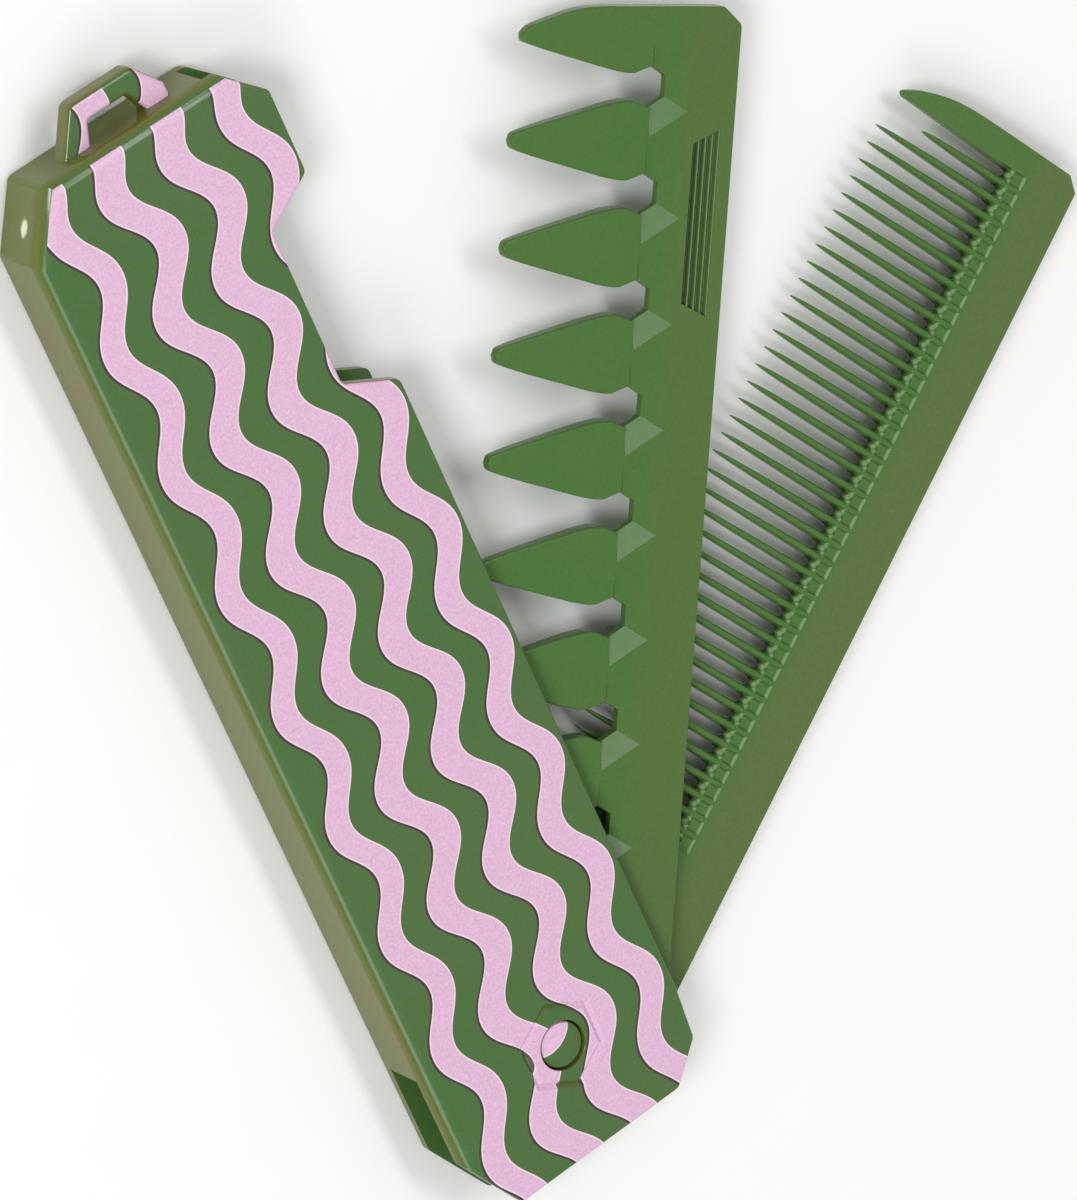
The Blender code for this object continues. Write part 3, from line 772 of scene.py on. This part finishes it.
def fine_teeth(name):
    """The even teeth: round-backed tapering bars whose roots run on as ribs into the blade."""
    shape = bmesh.new()
    middle_z = FINE_LOW_Z + BLADE_THICK / 2
    round_x = SLOT_END_X - (FINE_PITCH / 2 - FINE_TOOTH[0][1])
    for tooth in range(FINE_SLOTS - 1):
        tooth_y = FINE_FIRST_SLOT - FINE_PITCH * (tooth + 0.5)
        tip_x = SHORT_TIP_X if tooth == 0 else FINE_TIP_X
        stations = [(RIB_END, FINE_TOOTH[0][1], BLADE_THICK / 2, 0.0)]
        for share, half in eased(FINE_TOOTH, 4):
            pointed = min(1.0, half / TOOTH_POINT_HALF) ** 0.5
            thick = BLADE_THICK / 2 * (1.0 - (1.0 - FINE_TIP_THICK) * share) * pointed
            stations.append((round_x + (tip_x - round_x) * share, half, thick, TIP_LEAN * share))
        rings = []
        for x, half, thick, lean in stations:
            ring = []
            for step in range(TOOTH_SIDES):
                angle = 2 * math.pi * step / TOOTH_SIDES
                c, s = math.cos(angle), math.sin(angle)
                ring.append(shape.verts.new((
                    x * MM,
                    (tooth_y + lean + half * math.copysign(abs(c) ** TOOTH_FLANK_CURVE, c)) * MM,
                    (middle_z + thick * math.copysign(abs(s) ** TOOTH_BACK_CURVE, s)) * MM)))
            rings.append(ring)
        for first, second in zip(rings, rings[1:]):
            for step in range(TOOTH_SIDES):
                after = (step + 1) % TOOTH_SIDES
                shape.faces.new((first[step], first[after], second[after], second[step]))
        shape.faces.new(rings[0])
        shape.faces.new(rings[-1])
    bmesh.ops.recalc_face_normals(shape, faces=shape.faces)
    return new_piece(name, shape, bench)


def root_trough(face_z, side):
    """Shallow trough across all the roots on one face, with a sloped wall at its spine side."""
    low_y = FINE_FIRST_SLOT - FINE_PITCH * (FINE_SLOTS - 0.5)
    run_out = TROUGH_END + (TROUGH_END - TROUGH_FLAT_END) * TROUGH_LIFT / TROUGH_FLOOR
    profile = [(TROUGH_START, TROUGH_LIFT), (TROUGH_START, -TROUGH_FLOOR), (TROUGH_FLAT_END, -TROUGH_FLOOR),
               (run_out, TROUGH_LIFT)]
    ends = [[(x * MM, y * MM, (face_z + side * z) * MM) for x, z in profile]
            for y in (low_y, TROUGH_TOP_Y)]
    return bar("root_trough", *ends)


def root_scoops():
    """Egg-shaped hollows that scoop out both faces at the end of each slot."""
    shape = bmesh.new()
    half = FINE_PITCH / 2 - FINE_TOOTH[0][1]
    for slot in range(FINE_SLOTS):
        for face_z in (FINE_LOW_Z, FINE_LOW_Z + BLADE_THICK):
            made = bmesh.ops.create_uvsphere(shape, u_segments=16, v_segments=10, radius=MM)
            for vert in made["verts"]:
                vert.co = (SCOOP_X * MM + vert.co.x * SCOOP_REACH,
                           (FINE_FIRST_SLOT - FINE_PITCH * slot) * MM + vert.co.y * half,
                           face_z * MM + vert.co.z * SCOOP_DEPTH)
    return new_piece("root_scoops", shape, workshop)


fine_comb = slab("fine_comb_blade", fine_outline(), FINE_LOW_Z, BLADE_THICK, bench)
thin_towards_tips(fine_comb, SLOT_END_X - 1.0, FINE_TIP_X, FINE_TIP_THICK, FINE_LOW_Z + BLADE_THICK / 2)
soften(fine_comb, 0.18, segments=3)
cut(fine_comb, root_trough(FINE_LOW_Z + BLADE_THICK, 1.0))
cut(fine_comb, root_trough(FINE_LOW_Z, -1.0))
cut(fine_comb, root_scoops())
teeth = fine_teeth("fine_comb_teeth")
for part in (fine_comb, teeth):
    finish_surface(part)
    part.rotation_euler.z = math.radians(-FINE_OPEN_DEG)

# Painted shade on the blades' upright walls: a slightly darker green.
BLADE_WALL_SHADE = (0.07, 0.15, 0.03, 1.0)
BLADE_SHEEN = 0.2
SPINE_WARM_WIDTH = 3.0
HOLLOW_SHADE = (0.008, 0.024, 0.004, 1.0)
HOLLOW_SHADE_STRENGTH = 0.85
PAINTED_HIGHLIGHT = (0.4, 0.58, 0.3, 1.0)
HIGHLIGHT_STRENGTH = 0.38
HIGHLIGHT_FADE = 0.12
HIGHLIGHT_BELOW_FACE = 0.08


def blade_plastic(name, green, warm_green, warm_from, hollow, highlight_bands=()):
    """Moulded plastic of a comb, warmer towards its spine; the hollow (x, y and z range in mm) gets painted
    shade, and the highlight bands (x from, x to) across its floor get painted highlights."""
    made, tree, shader = new_material(name)
    place = shader_node(tree, "ShaderNodeTexCoord")
    spot = shader_node(tree, "ShaderNodeSeparateXYZ", Vector=place.outputs["Object"])
    spot_x, spot_y, spot_z = spot.outputs["X"], spot.outputs["Y"], spot.outputs["Z"]
    at_spine = ramp(tree, spot_x, warm_from * MM, (warm_from + SPINE_WARM_WIDTH) * MM)
    base = mix_colour(tree, at_spine, green, warm_green)
    body = place_group(tree, moulded, Place=place.outputs["Object"], Facing=place.outputs["Normal"],
                       Green=base, Warm_green=mix_colour(tree, 0.35, base, warm_green), Wall=BLADE_WALL_SHADE,
                       Wall_green=BLADE_WALL_SHADE)
    (near_x, far_x), (low_y, high_y), (high_z, low_z) = hollow
    # Painted shade in the hollow: darker the deeper it lies and the nearer it is to its near x edge.
    in_row = math_node(tree, "MULTIPLY", math_node(tree, "GREATER_THAN", spot_y, low_y * MM),
                       math_node(tree, "LESS_THAN", spot_y, high_y * MM))
    past_edge = math_node(tree, "GREATER_THAN", spot_x, (near_x - 1.0) * MM)
    in_hollow = math_node(tree, "MULTIPLY", past_edge, in_row)
    under_edge = ramp(tree, spot_x, near_x * MM, far_x * MM, at_low=1.0, at_high=0.0)
    deep = ramp(tree, spot_z, low_z * MM, high_z * MM, at_low=1.0, at_high=0.0)
    hollow_shade = math_node(tree, "MULTIPLY", math_node(tree, "MULTIPLY", under_edge, in_hollow),
                      math_node(tree, "MULTIPLY", deep, HOLLOW_SHADE_STRENGTH))
    colour = mix_colour(tree, hollow_shade, body.outputs["Colour"], HOLLOW_SHADE)
    below_face = math_node(tree, "LESS_THAN", spot_z, (high_z - HIGHLIGHT_BELOW_FACE) * MM)
    on_floor = math_node(tree, "MULTIPLY", below_face, in_row)
    # Painted highlights: bright bands across the trough floor where its sloped walls would catch the light.
    for from_x, to_x in highlight_bands:
        half = (to_x - from_x) / 2
        from_middle = math_node(tree, "SUBTRACT", spot_x, (from_x + half) * MM)
        off_centre = math_node(tree, "ABSOLUTE", from_middle)
        band = ramp(tree, off_centre, half * MM, (half + HIGHLIGHT_FADE) * MM, at_low=HIGHLIGHT_STRENGTH, at_high=0.0)
        colour = mix_colour(tree, math_node(tree, "MULTIPLY", band, on_floor), colour, PAINTED_HIGHLIGHT)
    finish_plastic(tree, shader, colour, body.outputs["Roughness"], body.outputs["Height"])
    shader.inputs["Specular IOR Level"].default_value = BLADE_SHEEN
    return made


fine_top_z = FINE_LOW_Z + BLADE_THICK
# On the fine comb the slot ends get painted shade, and two bands across each root trough get painted
# highlights.
fine_plastic = blade_plastic(
    "fine comb plastic", (0.066, 0.165, 0.038, 1.0), (0.1, 0.16, 0.048, 1.0), warm_from=5.5,
    hollow=((4.1, 4.45), (FINE_FIRST_SLOT - FINE_PITCH * FINE_SLOTS, TROUGH_TOP_Y + 0.05),
            (fine_top_z, fine_top_z - 0.6)),
    highlight_bands=((4.6, 4.9), (6.4, 6.58)))
for part in (fine_comb, teeth):
    dress(part, fine_plastic)
    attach(part, "fine_comb")
    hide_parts("fine_comb")

stud_profile = [(radius, STUD_TOP - drop) for radius, drop in STUD_DOME]
stud_profile += [(STUD_RADIUS, STUD_FOOT), (0.0, STUD_FOOT)]
stud_shape = bmesh.new()
stud_corners = [stud_shape.verts.new((radius * MM, 0.0, z * MM)) for radius, z in stud_profile]
for first, second in zip(stud_corners, stud_corners[1:]):
    stud_shape.edges.new((first, second))
stud = new_piece("pivot_stud", stud_shape, bench)
stud_turn = stud.modifiers.new("turned", "SCREW")
stud_turn.angle = 2 * math.pi
stud_turn.steps = stud_turn.render_steps = ROUND_SIDES
stud_turn.use_merge_vertices = True
stud_turn.merge_threshold = 0.000001
settle(stud)
stud_shape = bmesh.new()
stud_shape.from_mesh(stud.data)
bmesh.ops.remove_doubles(stud_shape, verts=stud_shape.verts, dist=0.000001)
bmesh.ops.recalc_face_normals(stud_shape, faces=stud_shape.faces)
stud_shape.to_mesh(stud.data)
stud_shape.free()
finish_surface(stud)
stud.rotation_euler.z = math.radians(-FINE_OPEN_DEG)
dress(stud, printed_plastic("printed stud plastic"))
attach(stud, "fine_comb")

# Wide comb
# One moulded blade between the fine comb and the front plate: wedge-shaped teeth with half-hexagon gaps
# that flare like funnels into both faces, and a slanted ribbed pocket for the fingertip near its top.
WIDE_LOW_Z = 4.1
WIDE_OPEN_DEG = 30.7
WIDE_SPINE_X = 14.0
WIDE_TOP = 109.55
WIDE_CORNER = {"run": 2.3, "drop": 1.9, "radius": 0.8}
WIDE_END_BACK = [(-2.5, WIDE_TOP), (-6.0, 109.25), (-10.9, 107.75), (-11.9, 107.2), (-12.4, 106.65)]
WIDE_PITCH = 11.166
WIDE_FIRST_GAP = 101.2
WIDE_GAPS = 8
# A wide tooth from its neck to its tip, as x and half width.
WIDE_TOOTH = [(0.4, 4.153), (-1.4, 3.85), (-3.6, 3.3), (-9.2, 1.87), (-12.3, 0.95), (-12.85, 0.5)]
WIDE_TIP_X = -12.98
WIDE_TIP_THICK = 0.6
WIDE_LAST_STEP = (-3.6, -2.6)
THROAT_HALF = 1.43
THROAT_LENGTH = 2.15
GAP_HEX_X = 3.45
GAP_HEX_RADIUS = 2.2
FUNNEL_RADIUS = 5.2
FUNNEL_DEPTH = 0.62
FUNNEL_LAP = 0.2
FUNNEL_BELOW = 1.1 * FUNNEL_DEPTH
FUNNEL_ABOVE = 0.6 * FUNNEL_DEPTH
GRIP_LEFT = 8.95
GRIP_RIGHT = 12.2
GRIP_LOW = 77.0
GRIP_HIGH = 96.7
GRIP_GROOVES = 4
GRIP_GROOVE_DEPTH = 0.46
GRIP_RIDGE_SUNK = 0.03
GRIP_STEPS = 14
GRIP_END_SLANT = 0.45


def gap_bottom(gap_y):
    """Half hexagon at the bottom of a gap."""
    return [(GAP_HEX_X + GAP_HEX_RADIUS * math.cos(math.radians(angle)),
             gap_y + GAP_HEX_RADIUS * math.sin(math.radians(angle))) for angle in (90, 30, -30, -90)]


def wide_outline():
    """The whole blade: spine, end tooth, gaps and teeth down to the heel."""
    outline = spine_edge(WIDE_SPINE_X, WIDE_TOP, **WIDE_CORNER) + eased(WIDE_END_BACK)
    for gap in range(WIDE_GAPS):
        gap_y = WIDE_FIRST_GAP - WIDE_PITCH * gap
        tooth_above = gap_y + WIDE_PITCH / 2
        tooth_below = gap_y - WIDE_PITCH / 2
        stations = WIDE_TOOTH[:-1] if gap == 0 else WIDE_TOOTH
        outline += eased([(x, tooth_above - half) for x, half in reversed(stations)])
        outline.append((GAP_HEX_X - THROAT_LENGTH, gap_y + THROAT_HALF))
        outline += gap_bottom(gap_y)
        outline.append((GAP_HEX_X - THROAT_LENGTH, gap_y - THROAT_HALF))
        if gap < WIDE_GAPS - 1:
            outline += eased([(x, tooth_below + half) for x, half in WIDE_TOOTH])
            outline.append((WIDE_TIP_X, tooth_below))
    last_y = WIDE_FIRST_GAP - WIDE_PITCH * (WIDE_GAPS - 1)
    outline.append((WIDE_TOOTH[0][0], last_y - THROAT_HALF))
    outline.append((WIDE_LAST_STEP[0], last_y + WIDE_LAST_STEP[1]))
    return outline + heel()


def half_funnel(name, low_radius, high_radius, low, high, gap_y):
    """Six-sided funnel cut off just past the gap's centre line, so that the teeth keep their faces."""
    made = cone(name, low_radius, high_radius, low, high, 6, (GAP_HEX_X, gap_y))
    shape = bmesh.new()
    shape.from_mesh(made.data)
    every = shape.verts[:] + shape.edges[:] + shape.faces[:]
    bmesh.ops.bisect_plane(shape, geom=every, plane_co=((GAP_HEX_X - FUNNEL_LAP) * MM, 0, 0),
                           plane_no=(-1, 0, 0), clear_outer=True)
    bmesh.ops.holes_fill(shape, edges=shape.edges, sides=0)
    bmesh.ops.recalc_face_normals(shape, faces=shape.faces)
    shape.to_mesh(made.data)
    shape.free()
    return made


def grip_tool(face_z):
    """What cuts the ribbed pocket: rounded grooves side by side, with slanted ends."""
    groove_pitch = (GRIP_RIGHT - GRIP_LEFT) / GRIP_GROOVES
    profile = [(GRIP_RIGHT + 0.02, 0.3), (GRIP_LEFT - 0.02, 0.3)]
    for step in range(GRIP_GROOVES * GRIP_STEPS + 1):
        sag = 0.5 - 0.5 * math.cos(2 * math.pi * step / GRIP_STEPS)
        profile.append((GRIP_LEFT + groove_pitch * step / GRIP_STEPS,
                        -GRIP_RIDGE_SUNK - GRIP_GROOVE_DEPTH * sag))
    ends = [[(x * MM, (end_y + lean * GRIP_END_SLANT * (GRIP_RIGHT - x)) * MM, (face_z + z) * MM)
             for x, z in profile] for end_y, lean in ((GRIP_LOW, 1.0), (GRIP_HIGH, -1.0))]
    return bar("grip_tool", *ends)


wide_comb = slab("wide_toothed_comb", wide_outline(), WIDE_LOW_Z, BLADE_THICK, bench)
thin_towards_tips(wide_comb, WIDE_TOOTH[0][0], WIDE_TOOTH[-1][0], WIDE_TIP_THICK,
                  WIDE_LOW_Z + BLADE_THICK / 2)
soften(wide_comb, 0.26, segments=3)
blade_top = WIDE_LOW_Z + BLADE_THICK
flare = (FUNNEL_RADIUS - GAP_HEX_RADIUS) / FUNNEL_DEPTH
narrow = FUNNEL_RADIUS - flare * FUNNEL_BELOW
broad = FUNNEL_RADIUS + flare * FUNNEL_ABOVE
for gap in range(WIDE_GAPS):
    gap_y = WIDE_FIRST_GAP - WIDE_PITCH * gap
    cut(wide_comb, half_funnel("front_funnel", narrow, broad, blade_top - FUNNEL_BELOW,
                               blade_top + FUNNEL_ABOVE, gap_y))
    cut(wide_comb, half_funnel("back_funnel", broad, narrow, WIDE_LOW_Z - FUNNEL_ABOVE,
                               WIDE_LOW_Z + FUNNEL_BELOW, gap_y))
cut(wide_comb, grip_tool(blade_top))
cut(wide_comb, cone("wide_hole", HOLE_RADIUS, HOLE_RADIUS, WIDE_LOW_Z - CUT_CLEAR, blade_top + CUT_CLEAR,
                    ROUND_SIDES))
finish_surface(wide_comb, shallow_until_x=GRIP_LEFT - 0.1)
wide_comb.rotation_euler.z = math.radians(-WIDE_OPEN_DEG)
# The ribbed finger pocket gets painted shade, darker with depth and towards its left side.
dress(wide_comb, blade_plastic(
    "wide comb plastic", (0.066, 0.162, 0.036, 1.0), (0.085, 0.155, 0.042, 1.0), warm_from=5.5,
    hollow=((GRIP_LEFT + 0.3, GRIP_RIGHT + 1.5), (GRIP_LOW - 0.5, GRIP_HIGH + 0.5),
            (blade_top - 0.03, blade_top - 0.4))))
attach(wide_comb, "wide_comb")
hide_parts("wide_comb")
